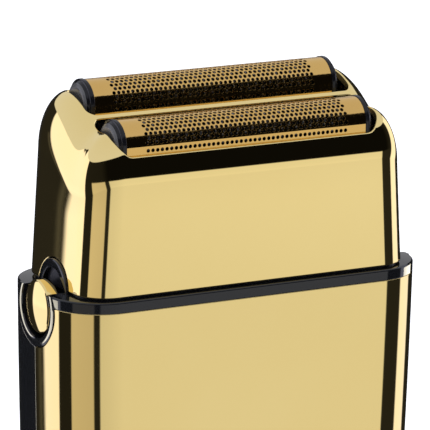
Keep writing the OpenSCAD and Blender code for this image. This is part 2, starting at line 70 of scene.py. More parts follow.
BODY_HX, BODY_HY, CORNER_R, WALL = 31.0, 12.45, 8.4, 1.6
RIM_Z, RIM_H, CAP_H = 84.5, 1.7, 3.0
SIDE_TAPER, FACE_TAPER, SIDE_BOW = 2.6, 0.55, 1.45
HEAD_HX, HEAD_HY, HEAD_R, HEAD_WALL, HEAD_FOOT = 27.9, 11.45, 5.1, 1.1, 84.8
JOINT_HX, JOINT_HY = HEAD_HX - 0.9, HEAD_HY - 0.18
SHOULDER = (5.0, 4.0, 5.0)
SIDE_DROP, FRONT_DROP, FRONT_POWER, VALLEY = 9.5, 4.4, 2.2, 1.5
FRONT_LOBE, REAR_LOBE = (-6.2, 6.0, 24.35), (6.2, 11.8, 28.3)
SLOT_HX, SLOTS = 22.6, ((-10.2, -1.8, 2.4, 1.4), (-0.9, 8.1, 1.4, 1.4))
ARCH_Z = 84.1
BUTTON_Z, BUTTON_R, BUTTON_FACE, DOME_R, RING_R = 81.76, 4.09, 31.2, 14.0, 6.05
AXES = {"front": (-6.25, 107.05), "rear": (4.15, 111.2)}
FOIL_R, FOIL_HX, FOIL_DROP, FOIL_SHIFT = 3.6, 20.35, 1.45, -0.5
LEDGE_Z, LEG_Z = 89.3, 94.0
CROWN_SIDE, CROWN_FACE = 3.0, 0.6


# ---- mesh building ---------------------------------------------------------

def unit(v):
    return v / np.maximum(np.linalg.norm(v, axis=-1, keepdims=True), 1e-12)


def averaged(points, faces):
    """One normal for each point, from the faces round it."""
    total = np.zeros_like(points)
    for f in faces:
        p = points[list(f)]
        n = np.cross(p, np.roll(p, -1, 0)).sum(0)
        total[list(f)] += n
    return unit(total)


def same_points(points):
    """For points closer than a weld step: the first of each group, and each one's group."""
    keys = np.floor(points / WELD + 0.37).astype(np.int64)
    _, first, back = np.unique(keys, axis=0, return_index=True, return_inverse=True)
    return first, back.reshape(-1)


def welded(points, normals, faces):
    """Points that are the same become one, and their normals are averaged."""
    first, back = same_points(points)
    total = np.zeros((len(first), 3))
    np.add.at(total, back, normals)
    kept = []
    for f in faces:
        g = [int(back[i]) for i in f]
        g = [g[k] for k in range(len(g)) if g[k] != g[k - 1]]
        if len(g) > 2:
            kept.append(tuple(g))
    return points[first], unit(total), kept


def shaded_mesh(name, points, faces, corners):
    """Smooth mesh with a normal for each corner of each face."""
    mesh = bpy.data.meshes.new(name)
    mesh.from_pydata(points, [], faces)
    mesh.polygons.foreach_set("use_smooth", [True] * len(mesh.polygons))
    mesh.update()
    mesh.normals_split_custom_set([tuple(n) for n in corners])
    return mesh


class Skin:
    """Faces in millimetres whose corners carry their own normals."""

    def __init__(self):
        self.points, self.normals, self.faces, self.count = [], [], [], 0

    def add(self, points, faces, normals=None):
        points = np.asarray(points, float).reshape(-1, 3)
        if normals is None:
            normals = averaged(points, faces)
        self.points.append(points)
        self.normals.append(np.asarray(normals, float).reshape(-1, 3))
        self.faces += [tuple(i + self.count for i in f) for f in faces]
        self.count += len(points)
        return self

    def grid(self, rows, wrap=False, flip=False, normals=None):
        rows = np.asarray(rows, float)
        r, c = rows.shape[:2]
        faces = []
        for i in range(r - 1):
            for j in range(c if wrap else c - 1):
                k = (j + 1) % c
                f = (i * c + j, i * c + k, (i + 1) * c + k, (i + 1) * c + j)
                faces.append(f[::-1] if flip else f)
        return self.add(rows.reshape(-1, 3), faces, normals)

    def tube(self, rows, flip=False, normals=None):
        """Closed rings joined in a row, with a flat face on each end."""
        self.grid(rows, wrap=True, flip=flip, normals=normals)
        ring = tuple(range(len(rows[0])))
        self.add(rows[0], [ring if flip else ring[::-1]])
        return self.add(rows[-1], [ring[::-1] if flip else ring])

    def joined(self):
        return welded(np.concatenate(self.points), np.concatenate(self.normals), self.faces)

    def build(self, name):
        points, normals = np.concatenate(self.points), np.concatenate(self.normals)
        first, back = same_points(points)
        faces, corners, seen = [], [], set()
        for f in self.faces:
            g = [int(back[i]) for i in f]
            keep = [k for k in range(len(g)) if g[k] != g[k - 1]]
            ring = tuple(g[k] for k in keep)
            key = frozenset(ring)
            if len(key) < 3 or len(key) < len(ring) or key in seen:
                continue
            seen.add(key)
            faces.append(ring)
            corners += [normals[f[k]] for k in keep]
        return linked(name, shaded_mesh(name, (points[first] * MM).tolist(), faces, corners))


def linked(name, mesh):
    obj = bpy.data.objects.new(name, mesh)
    bpy.context.scene.collection.objects.link(obj)
    return obj


def trimmed(lines, step, keep, lift):
    """Surface over a flat region. lines are polylines that its edges follow, step is the
    grid's pitch each way, keep says which points are inside, and lift maps the region's
    points to points and normals in space."""
    step = np.array(step, float)
    coords, edges = [], []
    for line, closed in lines:
        first = len(coords)
        coords += [tuple(np.array(p) / step) for p in line]
        n = len(line)
        edges += [(first + i, first + (i + 1) % n) for i in range(n if closed else n - 1)]
    tree = kdtree.KDTree(len(coords))
    for i, (u, v) in enumerate(coords):
        tree.insert((u, v, 0), i)
    tree.balance()
    all_points = np.array(coords)
    low, high = all_points.min(0), all_points.max(0)
    free = np.array([(u, v) for j, v in enumerate(np.arange(low[1] + 0.433, high[1], 0.866))
                     for u in np.arange(low[0] + (0.25 if j % 2 else 0.75), high[0], 1.0)])
    free = free[keep(free * step)]
    coords += [tuple(p) for p in free if tree.find((p[0], p[1], 0))[2] > 0.5]
    found = geometry.delaunay_2d_cdt([Vector(c) for c in coords], edges, [], 0, 1e-6)
    flat = np.array([tuple(v) for v in found[0]]) * step
    triangles = np.array([f for f in found[2] if len(f) == 3])
    triangles = triangles[keep(flat[triangles].mean(1))]
    u, v = (flat[triangles, k] for k in (0, 1))
    area = ((u[:, 1] - u[:, 0]) * (v[:, 2] - v[:, 0])
            - (v[:, 1] - v[:, 0]) * (u[:, 2] - u[:, 0]))
    triangles[area < 0] = triangles[area < 0][:, ::-1]
    triangles = triangles[np.abs(area) > 1e-7]
    used, index = np.unique(triangles, return_inverse=True)
    points, normals = lift(flat[used])
    return points, [tuple(t) for t in index.reshape(-1, 3)], normals


def thickened(skin, thickness, edge, turns=3, settle=None):
    """Closed wall from a welded sheet: its edges are rolled over by a small radius.
    settle(outer, inner) may move the inner face's points."""
    settle = settle or (lambda outer, inner: inner)
    points, normals, faces = skin.joined()
    solid = Skin()
    solid.add(points, faces, normals)
    solid.add(settle(points, points - normals * thickness), [f[::-1] for f in faces], -normals)
    sides = dict.fromkeys(side for f in faces for side in zip(f, f[1:] + f[:1]))
    rim = [(a, b) for (a, b) in sides if (b, a) not in sides]
    out = {}
    for a, b in rim:
        d = points[b] - points[a]
        o = unit(np.cross(d, normals[a] + normals[b]))
        for v in (a, b):
            out.setdefault(v, []).append(o)
    order = {v: i for i, v in enumerate(out)}
    away = np.array([unit(np.sum(o, 0)) / max(0.6, abs(np.dot(unit(np.sum(o, 0)), o[0])))
                     for o in out.values()])
    base, up = points[list(order)], normals[list(order)]
    away_unit = unit(away)
    rows, shades = [], []
    for k in range(turns + 1):
        t = math.pi / 2 * k / turns
        rows.append(base + away * edge * math.sin(t) - up * edge * (1 - math.cos(t)))
        shades.append(unit(up * math.cos(t) + away_unit * math.sin(t)))
    low = base - up * thickness
    for row, shade in ((low + away * edge + up * edge, away_unit), (low, -up)):
        rows.append(settle(base, row))
        shades.append(shade)
    count = len(order)
    strip = []
    for a, b in rim:
        for k in range(len(rows) - 1):
            strip.append((order[b] + k * count, order[a] + k * count,
                          order[a] + (k + 1) * count, order[b] + (k + 1) * count))
    solid.add(np.concatenate(rows), strip, np.concatenate(shades))
    return solid


def revolved(profile, axis_z, steps, side, start=0.0, end=360.0):
    """Turns a profile of (x, radius) about an axis along X. side -1 mirrors it."""
    full = end - start >= 360
    angles = np.radians(np.linspace(start, end, steps + 1)[: steps if full else None])
    rows = [[(side * x, r * math.cos(a), axis_z + r * math.sin(a)) for a in angles]
            for x, r in profile]
    return Skin().grid(rows, wrap=full, flip=side > 0)


def combine(base, other, operation="DIFFERENCE"):
    """Boolean of two meshes. The second one is used up."""
    cut = base.modifiers.new("cut", "BOOLEAN")
    cut.solver, cut.operation, cut.object = "EXACT", operation, other
    bpy.context.view_layer.update()
    graph = bpy.context.evaluated_depsgraph_get()
    mesh = bpy.data.meshes.new_from_object(base.evaluated_get(graph))
    base.modifiers.clear()
    base.data = mesh
    bpy.data.objects.remove(other)
    return base


def crisp(obj, angle):
    """Smooth shading that stays sharp at edges."""
    mesh = obj.data
    mesh.polygons.foreach_set("use_smooth", [True] * len(mesh.polygons))
    mesh.set_sharp_from_angle(angle=math.radians(angle))
    return obj


def box_mesh(name, low, high):
    x0, y0, z0 = (v * MM for v in low)
    x1, y1, z1 = (v * MM for v in high)
    mesh = bpy.data.meshes.new(name)
    mesh.from_pydata(
        [(x, y, z) for z in (z0, z1) for y in (y0, y1) for x in (x0, x1)], [],
        [(0, 2, 3, 1), (4, 5, 7, 6), (0, 1, 5, 4), (2, 6, 7, 3), (0, 4, 6, 2), (1, 3, 7, 5)])
    return linked(name, mesh)


def rod_mesh(name, r, start, end, sides=96):
    """Plain cylinder between two points."""
    start, end = np.array(start, float), np.array(end, float)
    d = unit(end - start)
    u = unit(np.cross(d, [0.3, 0.5, 0.81]))
    v = np.cross(d, u)
    ring = [r * (u * math.cos(a) + v * math.sin(a))
            for a in np.linspace(0, 2 * math.pi, sides, endpoint=False)]
    return Skin().tube([[start + p for p in ring], [end + p for p in ring]]).build(name)


def cut_box(base, low, high):
    return combine(base, box_mesh("cut", low, high))


def drill(base, r, start, end, sides=96):
    return combine(base, rod_mesh("cut", r, start, end, sides))


# ---- outlines --------------------------------------------------------------

def stations(w, hx, hy, r):
    """Places along a round-cornered outline, from the right seam round the back:
    how far along X and Y, the corner's angle, and the angle of the crowned normal."""
    side, arc, face = hy - r, r * math.pi / 2, hx - r
    marks = np.cumsum([0, side, arc, 2 * face, arc, 2 * side, arc, 2 * face, arc, side])
    s, f = CROWN_SIDE, CROWN_FACE
    return (
        np.interp(w, marks, [1, 1, 1, -1, -1, -1, -1, 1, 1, 1]),
        np.interp(w, marks, [0, 1, 1, 1, 1, -1, -1, -1, -1, 0]),
        np.radians(np.interp(w, marks, [0, 0, 90, 90, 180, 180, 270, 270, 360, 360])),
        np.radians(np.interp(w, marks, [
            0, s, 90 - f, 90 + f, 180 - s, 180 + s, 270 - f, 270 + f, 360 - s, 360])))


def perimeter(hx, hy, r):
    return 4 * (hx - r) + 4 * (hy - r) + 2 * math.pi * r


def placed(a, b, phi, hx, hy, r):
    return a * (hx - r) + r * np.cos(phi), b * (hy - r) + r * np.sin(phi)


def ring_marks(hx, hy, r, corner, side, face, start=0.0, end=None):
    """Places along an outline: close together at the corners."""
    arc = r * math.pi / 2
    lengths = [hy - r, arc, 2 * (hx - r), arc, 2 * (hy - r), arc, 2 * (hx - r), arc, hy - r]
    counts = [side // 2, corner, face, corner, side, corner, face, corner, side // 2]
    w, out = 0.0, [0.0]
    for length, count in zip(lengths, counts):
        out += [w + length * (i + 1) / count for i in range(count)]
        w += length
    out = np.array(out)
    end = w if end is None else end
    return out[(out >= start - 1e-6) & (out <= end + 1e-6)]


def face_marks(hx, hy, r):
    """Where the back and the front begin and end along an outline."""
    first, total = hy - r + r * math.pi / 2, perimeter(hx, hy, r)
    second = first + 2 * (hx - r)
    return first, second, total - second, total - first


def side_arcs(hy, r, total, radius, z0, angles):
    """A circle round the middle of each narrow side, as (place along the outline, y, z)."""
    flat = hy - r
    for middle in (0.0, total / 2, total):
        arc = []
        for angle in np.radians(angles):
            y, z = radius * math.cos(angle), z0 + radius * math.sin(angle)
            off = abs(y) if abs(y) < flat else flat + r * math.asin((abs(y) - flat) / r)
            arc.append((middle + math.copysign(off, y) * (1 if middle != total / 2 else -1),
                        y, z))
        yield arc


def side_x(z):
    return BODY_HX - SIDE_TAPER * np.clip((RIM_Z - z) / RIM_Z, 0, 1) ** SIDE_BOW


def face_y(z):
    return BODY_HY - FACE_TAPER * (RIM_Z - z) / RIM_Z


def handle_ring(z, inset, marks):
    a, b, phi, psi = stations(marks, BODY_HX, BODY_HY, CORNER_R)
    x, y = placed(a, b, phi, side_x(z) - inset, face_y(z) - inset, CORNER_R - inset)
    return np.stack([x, y, np.full_like(x, z)], 1)


# ---- materials -------------------------------------------------------------

def node_adder(tree):
    """Function that adds a node to a tree. Its inputs are values or other nodes' outputs."""
    def add(kind, inputs, **settings):
        node = tree.nodes.new("ShaderNode" + kind)
        for key, value in settings.items():
            setattr(node, key, value)
        for key, value in inputs.items():
            if isinstance(value, bpy.types.NodeSocket):
                tree.links.new(value, node.inputs[key])
            else:
                node.inputs[key].default_value = value
        return node
    return add


def material(name, color, metallic=0.0, roughness=0.4, color2=None, spread=0.25, patch=22.0,
             bumps=((0.35, 0.004, None),), **inputs):
    """Principled material with fine detail: blotchy roughness, a grain that dents the
    surface, and a slight change of colour. bumps are (size, depth, stretch). Sizes are in
    millimetres."""
    mat = bpy.data.materials.new(name)
    mat.use_nodes = True
    add, link = node_adder(mat.node_tree), mat.node_tree.links.new
    shader = mat.node_tree.nodes["Principled BSDF"]
    place = add("TexCoord", {}).outputs["Object"]

    def noise(size, detail, stretch=None):
        scale = [1 / MM / size * s for s in stretch or (1, 1, 1)]
        scaled = add("Mapping", {"Vector": place, "Scale": scale}).outputs["Vector"]
        return add("TexNoise", {"Vector": scaled, "Scale": 1.0, "Detail": detail,
                                "Roughness": 0.5}).outputs["Fac"]

    def ranged(source, low, high):
        return add("MapRange", {"Value": source, "From Min": 0.35, "From Max": 0.65,
                                "To Min": low, "To Max": high}).outputs["Result"]

    link(ranged(noise(14.0, 4.0), roughness * (1 - spread), roughness * (1 + spread)),
         shader.inputs["Roughness"])
    other = color2 or [c * 0.93 for c in color]
    tint = add("Mix", {0: ranged(noise(patch, 3.0), 0, 1)}, data_type="RGBA")
    tint.inputs[6].default_value, tint.inputs[7].default_value = (*color, 1), (*other, 1)
    link(tint.outputs[2], shader.inputs["Base Color"])
    shader.inputs["Metallic"].default_value = metallic
    below = {}
    for size, depth, stretch in bumps:
        bump = add("Bump", {"Strength": 1.0, "Distance": depth * MM,
                            "Height": noise(size, 2.0, stretch), **below})
        below = {"Normal": bump.outputs["Normal"]}
    link(below["Normal"], shader.inputs["Normal"])
    for key, value in inputs.items():
        shader.inputs[key.replace("_", " ")].default_value = value
    return mat


BRUSHED = (0.2, 0.0012, (0.05, 1, 1))
LOOKS = {
    "gold_plate": dict(
        color=(1.0, 0.785, 0.335), metallic=1.0, roughness=0.035, color2=(0.99, 0.77, 0.32),
        spread=0.5, bumps=[(9.0, 0.0035, None), (0.5, 0.00003, (1, 1, 12))]),
    # The foil's gold is darker and deeper than the plate's: partly the foil's own gold, partly
    # painted shade from light bouncing among its holes.
    "gold_foil": dict(
        color=(0.81, 0.52, 0.165), metallic=1.0, roughness=0.085, color2=(0.77, 0.48, 0.145),
        bumps=[(0.25, 0.0012, (0.15, 1, 1))]),
    "black_gloss": dict(
        color=(0.004, 0.0045, 0.006), roughness=0.07, color2=(0.005, 0.0055, 0.007),
        bumps=[(7.0, 0.002, None), (0.3, 0.00005, None)], Coat_Weight=0.05,
        Coat_Roughness=0.04),
    "black_plastic": dict(
        color=(0.016, 0.017, 0.022), roughness=0.3, bumps=[(0.12, 0.002, None)]),
    "cap_plastic": dict(
        color=(0.006, 0.006, 0.008), roughness=0.2, bumps=[(0.12, 0.0015, None)],
        Specular_IOR_Level=0.35),
    # Lighter grey copy of the caps' black plastic for their flat ends: a painted reflection of the
    # bright studio.
    "cap_end_painted_sheen": dict(
        color=(0.085, 0.085, 0.088), roughness=0.3, bumps=[(0.5, 0.006, None)]),
    # Steel darkened with painted shade, for the cutter blades that sit in shade under the foils.
    "steel_painted_shade": dict(color=(0.16, 0.16, 0.17), metallic=1.0, roughness=0.35, bumps=[BRUSHED]),
    "grey_plastic": dict(color=(0.07, 0.07, 0.075), roughness=0.45, bumps=[(0.15, 0.003, None)]),
    "steel": dict(
        color=(0.62, 0.62, 0.63), metallic=1.0, roughness=0.28, color2=(0.5, 0.5, 0.52),
        bumps=[BRUSHED]),
    "ivory_plastic": dict(
        color=(0.72, 0.69, 0.60), roughness=0.42, bumps=[(0.2, 0.003, None)],
        Subsurface_Weight=0.1),
    "cell_sleeve": dict(
        color=(0.03, 0.12, 0.42), roughness=0.22, color2=(0.025, 0.10, 0.36),
        bumps=[(1.2, 0.006, (1, 0.3, 1))]),
    "board": dict(
        color=(0.02, 0.16, 0.06), roughness=0.35, color2=(0.05, 0.24, 0.10), patch=1.1,
        bumps=[(0.8, 0.02, None)]),
    "soft_rubber": dict(color=(0.02, 0.02, 0.021), roughness=0.75, bumps=[(0.1, 0.006, None)]),
    "led_lens": dict(
        color=(0.80, 0.87, 0.93), roughness=0.12, bumps=[(0.3, 0.001, None)],
        Transmission_Weight=0.5),
}
MATERIALS = {name: material(name, **look) for name, look in LOOKS.items()}


def coat(obj, look):
    obj.data.materials.clear()
    obj.data.materials.append(MATERIALS[look])


def finish_piece(obj, slot, body, *nodes, look=None):
    coat(obj, look or slot)
    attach(obj, body)
    if nodes:
        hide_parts(*nodes)


# ---- head shell ------------------------------------------------------------

def head_top(y):
    def lobe(middle, r, top):
        return top - r + np.sqrt(np.maximum(0.1, r * r - (y - middle) ** 2))
    a, b = lobe(*FRONT_LOBE), lobe(*REAR_LOBE)
    return RIM_Z + np.maximum(a, b) + VALLEY * np.log1p(np.exp(-np.abs(a - b) / VALLEY))


def head_slope(y):
    return (head_top(y + 1e-3) - head_top(y - 1e-3)) / 2e-3


SWEEP = 7.85


def head_corner(s):
    """The head's corner radius and corner centre, where its shoulder has come in by a
    share s of its full width."""
    r = HEAD_R - (SHOULDER[0] + SHOULDER[1]) / 2 * s
    return r, JOINT_HX - SHOULDER[0] * s - r, JOINT_HY - SHOULDER[1] * s - r


TOP_R, TOP_X, TOP_Y = head_corner(1.0)


def shoulder_shape(cy, front):
    """Height of the shoulder and how square its curve is, on the sides, front and back."""
    end = np.where(front, FRONT_DROP, SHOULDER[2])
    share = cy * cy
    return (SIDE_DROP + (end - SIDE_DROP) * share,
            2 + np.where(front, FRONT_POWER - 2, 0.0) * share)


def dome(flat):
    """Maps the head's unrolled top to space. Its shoulder is unrolled level, all round."""
    sign = np.where(flat < 0, -1.0, 1.0)
    ax, ay = np.abs(flat[:, 0]), np.abs(flat[:, 1])
    qx, qy = ax - TOP_X, ay - TOP_Y
    corner = (qx > 0) & (qy > 0)
    reach = np.where(corner, np.hypot(qx, qy), np.maximum(qx, qy))
    delta = np.maximum(0, reach - TOP_R)
    cx = np.where(corner, qx / np.maximum(reach, 1e-9), np.where(qx >= qy, 1.0, 0.0))
    cy = np.where(corner, qy / np.maximum(reach, 1e-9), np.where(qx >= qy, 0.0, 1.0))
    turn = np.pi / 2 * np.clip(1 - delta / SWEEP, 0, 1)
    drop, power = shoulder_shape(cy, flat[:, 1] < 0)
    out, rise = np.cos(turn) ** (2 / power), np.sin(turn) ** (2 / power)
    r, mx, my = head_corner(1 - out)
    x = np.where(qx > 0, mx + r * cx, ax * mx / TOP_X)
    y = np.where(qy > 0, my + r * cy, ay * my / TOP_Y)
    inner = delta <= 0
    x, y = np.where(inner, ax, x) * sign[:, 0], np.where(inner, ay, y) * sign[:, 1]
    z = head_top(y) - drop * (1 - rise)
    k = (SHOULDER[0] + SHOULDER[1]) / 2 + 0.5 * cx - 0.5 * cy
    fall, level = drop * out ** (power - 1) / k, rise ** (power - 1)
    psi = np.degrees(np.arctan2(cy, cx))
    share = np.where(corner, psi / 90, 0)
    tilt = np.where(corner, CROWN_SIDE + share * (90 - CROWN_SIDE - CROWN_FACE),
                    np.where(cx > cy, CROWN_SIDE * np.clip(ay / TOP_Y, 0, 1),
                             90 - CROWN_FACE * np.clip(ax / TOP_X, 0, 1)))
    tilt = np.radians(tilt)
    n = np.stack([fall * np.cos(tilt) * sign[:, 0],
                  fall * np.sin(tilt) * sign[:, 1] - head_slope(y) * level,
                  level], 1)
    return np.stack([x, y, z], 1), unit(n)


def unrolled(x, y):
    """The point of the unrolled top that dome() puts over (x, y)."""
    def reach(s):
        r, mx, my = head_corner(s)
        qx, qy = abs(x) - mx, abs(y) - my
        far = math.hypot(qx, qy) if qx > 0 and qy > 0 else max(qx, qy)
        return far - r, qx, qy, mx, my, far
    if reach(1.0)[0] <= 0:
        return x, y
    low, high = 0.0, 1.0
    for _ in range(40):
        mid = (low + high) / 2
        low, high = (low, mid) if reach(mid)[0] > 0 else (mid, high)
    _, qx, qy, mx, my, far = reach(low)
    cy = qy / far if qx > 0 and qy > 0 else float(qy >= qx)
    power = float(shoulder_shape(cy, y < 0)[1])
    radius = TOP_R + SWEEP * (1 - math.acos((1 - low) ** (power / 2)) / (math.pi / 2))
    sx, sy = math.copysign(1, x), math.copysign(1, y)
    if qx > 0 and qy > 0:
        return sx * (TOP_X + radius * qx / far), sy * (TOP_Y + radius * qy / far)
    if qx > qy:
        return sx * (TOP_X + radius), y * TOP_Y / my
    return x * TOP_X / mx, sy * (TOP_Y + radius)


def inside(points, line):
    """Which points lie inside a closed polyline."""
    line = np.array(line)
    x, y = points[:, 0], points[:, 1]
    found = np.zeros(len(points), bool)
    for (x0, y0), (x1, y1) in zip(line, np.roll(line, -1, 0)):
        if y0 != y1:
            found ^= ((y0 > y) != (y1 > y)) & (x < (x1 - x0) * (y - y0) / (y1 - y0) + x0)
    return found


def corner_points(cx, cy, hx, hy, r, low_r=None):
    """Closed polyline of a round-cornered rectangle, with points at its corners only.
    low_r is the radius of the two corners on the low side, where it is another one."""
    out = []
    for sx, sy, start in ((1, 1, 0), (-1, 1, 90), (-1, -1, 180), (1, -1, 270)):
        q = low_r if low_r and sy < 0 else r
        out += [(cx + sx * (hx - q) + q * math.cos(a), cy + sy * (hy - q) + q * math.sin(a))
                for a in np.radians(np.linspace(start, start + 90, 9))]
    return out


def outline_points(cx, cy, hx, hy, r, pitch=0.35, low_r=None):
    """The same polyline with points along its straight sides too."""
    out = corner_points(cx, cy, hx, hy, r, low_r)
    fine = []
    for p, q in zip(out, out[1:] + out[:1]):
        n = max(1, int(math.dist(p, q) / pitch))
        fine += [(p[0] + (q[0] - p[0]) * i / n, p[1] + (q[1] - p[1]) * i / n) for i in range(n)]
    return fine


LIP = 0.25
ARCH_R = 4.8
WALL_SPAN = 20.0
HEAD_MARKS = ring_marks(JOINT_HX, JOINT_HY, HEAD_R, 20, 14, 70)
FOOT_Z = HEAD_FOOT + LIP


def head_wall(flat):
    """Maps the head's unrolled wall to space: along it, and 0 to WALL_SPAN up it."""
    w, share = flat[:, 0], flat[:, 1] / WALL_SPAN
    a, b, phi, psi = stations(w, JOINT_HX, JOINT_HY, HEAD_R)
    x0, y0 = placed(a, b, phi, HEAD_HX - 0.012, HEAD_HY, HEAD_R)
    x1, y1 = placed(a, b, phi, JOINT_HX, JOINT_HY, HEAD_R)
    z1 = head_top(y1) - shoulder_shape(np.abs(np.sin(phi)), np.sin(phi) < 0)[0]
    x, y = x0 + (x1 - x0) * share, y0 + (y1 - y0) * share
    z = FOOT_Z + (z1 - FOOT_Z) * share
    lean = (0.05 * np.cos(psi) ** 2 + 0.01 * np.sin(psi) ** 2) * np.clip((1 - share) * 4, 0, 1)
    return np.stack([x, y, z], 1), unit(np.stack([np.cos(psi), np.sin(psi), lean], 1))


def make_head_shell():
    marks = HEAD_MARKS
    a, b, phi, _ = stations(marks, JOINT_HX, JOINT_HY, HEAD_R)
    edge = zip(a * TOP_X + (TOP_R + SWEEP) * np.cos(phi),
               b * TOP_Y + (TOP_R + SWEEP) * np.sin(phi))
    lines = [(list(edge)[:-1], True)]
    for low, high, low_r, high_r in SLOTS:
        points = outline_points(0, (low + high) / 2, SLOT_HX + LIP, (high - low) / 2 + LIP,
                                high_r + LIP, 0.35, low_r + LIP)
        lines.append(([unrolled(*p) for p in points], True))

    def keep_top(flat):
        qx, qy = np.abs(flat[:, 0]) - TOP_X, np.abs(flat[:, 1]) - TOP_Y
        far = np.where((qx > 0) & (qy > 0), np.hypot(qx, qy), np.maximum(qx, qy))
        return (far < TOP_R + SWEEP - 0.01) & ~inside(flat, lines[1][0]) & ~inside(
            flat, lines[2][0])

    skin = Skin().add(*trimmed(lines, (0.5, 0.5), keep_top, dome))
    total = perimeter(JOINT_HX, JOINT_HY, HEAD_R)
    lines = [([(w, v) for w in marks], False) for v in (WALL_SPAN, 0.0)]
    lines += [([(w, v) for v in np.linspace(0, WALL_SPAN, 9)], False) for w in (0.0, total)]
    for w in face_marks(JOINT_HX, JOINT_HY, HEAD_R):
        lines.append(([(w, v) for v in np.linspace(0, WALL_SPAN, 17)], False))
    radius = ARCH_R + LIP
    for arc in side_arcs(JOINT_HY, HEAD_R, total, radius, ARCH_Z, np.linspace(0, 180, 49)):
        line = []
        for w, y, z in arc:
            joint = float(head_top(np.array([y]))[0]) - SIDE_DROP
            if 0 <= w <= total and z >= FOOT_Z - 0.4:
                line.append((w, WALL_SPAN * (z - FOOT_Z) / (joint - FOOT_Z)))
        lines.append((line, False))

    def keep_wall(flat):
        p, _ = head_wall(flat)
        in_arch = (np.hypot(p[:, 1], p[:, 2] - ARCH_Z) < radius) & (np.abs(p[:, 0]) > 24)
        return (flat[:, 0] > 0) & (flat[:, 0] < total) & (flat[:, 1] > 0) & (
            flat[:, 1] < WALL_SPAN) & ~in_arch

    def clear_front(outer, inner):
        """Keeps the wall off the skirt of the front foil."""
        near = (outer[:, 1] < SLOTS[0][0]) & (np.abs(outer[:, 0]) < SLOT_HX)
        inner[:, 1] = np.where(near, np.minimum(inner[:, 1], SLOTS[0][0] + 0.12), inner[:, 1])
        return inner

    skin.add(*trimmed(lines, (0.8, 1.6), keep_wall, head_wall))
    return thickened(skin, HEAD_WALL, LIP, 4, clear_front).build("head_cover")


finish_piece(make_head_shell(), "gold_plate", "head", "head_shell")


# ---- handle ----------------------------------------------------------------

def handle_wall(flat):
    w, z = flat[:, 0], flat[:, 1]
    a, b, phi, psi = stations(w, BODY_HX, BODY_HY, CORNER_R)
    x, y = placed(a, b, phi, side_x(z), face_y(z), CORNER_R)
    lean = SIDE_BOW * np.clip((RIM_Z - z) / RIM_Z, 0, 1) ** (SIDE_BOW - 1)
    tilt = (SIDE_TAPER * lean * np.cos(psi) ** 2 + FACE_TAPER * np.sin(psi) ** 2) / RIM_Z
    return (np.stack([x, y, z], 1),
            unit(np.stack([np.cos(psi), np.sin(psi), -tilt], 1)))


SEAM = 0.12
SWITCH = (4.8, 27.0, 13.6, 5.0, 0.4)
LED_R, LED_Z = 1.35, 19.0


def make_half(front):
    total = perimeter(BODY_HX, BODY_HY, CORNER_R)
    start, end = (total / 2, total) if front else (0.0, total / 2)
    start, end = start + SEAM, end - SEAM
    low, high = CAP_H + SEAM, RIM_Z - RIM_H - SEAM
    marks = ring_marks(BODY_HX, BODY_HY, CORNER_R, 20, 12, 50, start, end)
    marks = np.concatenate([[start], marks[(marks > start + 0.05) & (marks < end - 0.05)], [end]])
    heights = np.linspace(low, high, 30)
    lines = [([(w, low) for w in marks], False), ([(w, high) for w in marks], False),
             ([(start, z) for z in heights], False), ([(end, z) for z in heights], False)]
    for w in face_marks(BODY_HX, BODY_HY, CORNER_R):
        if start < w < end:
            lines.append(([(w, z) for z in np.linspace(low, high, 60)], False))
    radius = RING_R + 0.05 + SEAM
    for arc in side_arcs(BODY_HY, CORNER_R, total, radius, BUTTON_Z, np.linspace(0, 360, 97)):
        line = []
        for w, _, z in arc:
            if start - 0.6 < w < end + 0.6 and z < high + 0.6:
                line.append((w, z))
            elif line:
                lines.append((line, False))
                line = []
        if line:
            lines.append((line, False))
    middle = total * 3 / 4
    hx, z0, h, travel, gap = SWITCH
    mid_z, half_z = z0 + (h + travel) / 2, (h + travel) / 2 + gap + SEAM
    if front:
        lines.append((outline_points(middle, mid_z, hx + gap + SEAM, half_z, 1.0, 0.8), True))
        lines.append(([(middle + LED_R * math.cos(t), LED_Z + LED_R * math.sin(t))
                       for t in np.linspace(0, 2 * math.pi, 32, endpoint=False)], True))

    def keep(flat):
        p, _ = handle_wall(flat)
        ok = (flat[:, 0] > start) & (flat[:, 0] < end) & (flat[:, 1] > low) & (flat[:, 1] < high)
        ok &= ~((np.hypot(p[:, 1], p[:, 2] - BUTTON_Z) < radius) & (np.abs(p[:, 0]) > 25))
        if front:
            du, dz = np.abs(flat[:, 0] - middle), np.abs(flat[:, 1] - mid_z)
            qx, qz = du - (hx + gap + SEAM - 1), dz - (half_z - 1)
            slot = np.hypot(np.maximum(qx, 0), np.maximum(qz, 0)) + np.minimum(
                np.maximum(qx, qz), 0) - 1
            ok &= (slot > 0) & (np.hypot(flat[:, 0] - middle, flat[:, 1] - LED_Z) > LED_R)
        return ok

    skin = Skin().add(*trimmed(lines, (0.9, 2.4), keep, handle_wall))
    return thickened(skin, WALL - 0.1, SEAM, 2).build("front_casing" if front else "rear_casing")


finish_piece(make_half(True), "gold_plate", "handle", "front_shell")
finish_piece(make_half(False), "black_gloss", "handle", "rear_shell")


def lofted(name, stack, marks):
    """Solid through handle rings given as (height, inset)."""
    return Skin().tube([handle_ring(z, inset, marks)[:-1] for z, inset in stack]).build(name)


def rounded_stack(low, high, top_r, low_r):
    """Heights and insets of a band whose two edges are rounded."""
    turns = np.linspace(0, math.pi / 2, 5)
    return ([(low + low_r * (1 - math.cos(t)), low_r * (1 - math.sin(t))) for t in turns]
            + [(high - top_r * (1 - math.sin(t)), top_r * (1 - math.cos(t))) for t in turns])


def turned(obj, rule):
    """Gives each corner the normal that rule(point, normal) returns, so that a flat face
    mirrors the studio as a slightly crowned one does."""
    mesh = obj.data
    mesh.normals_split_custom_set([
        tuple(rule(mesh.vertices[loop.vertex_index].co / MM, Vector(n.vector)).normalized())
        for loop, n in zip(mesh.loops, mesh.corner_normals)])
    return obj


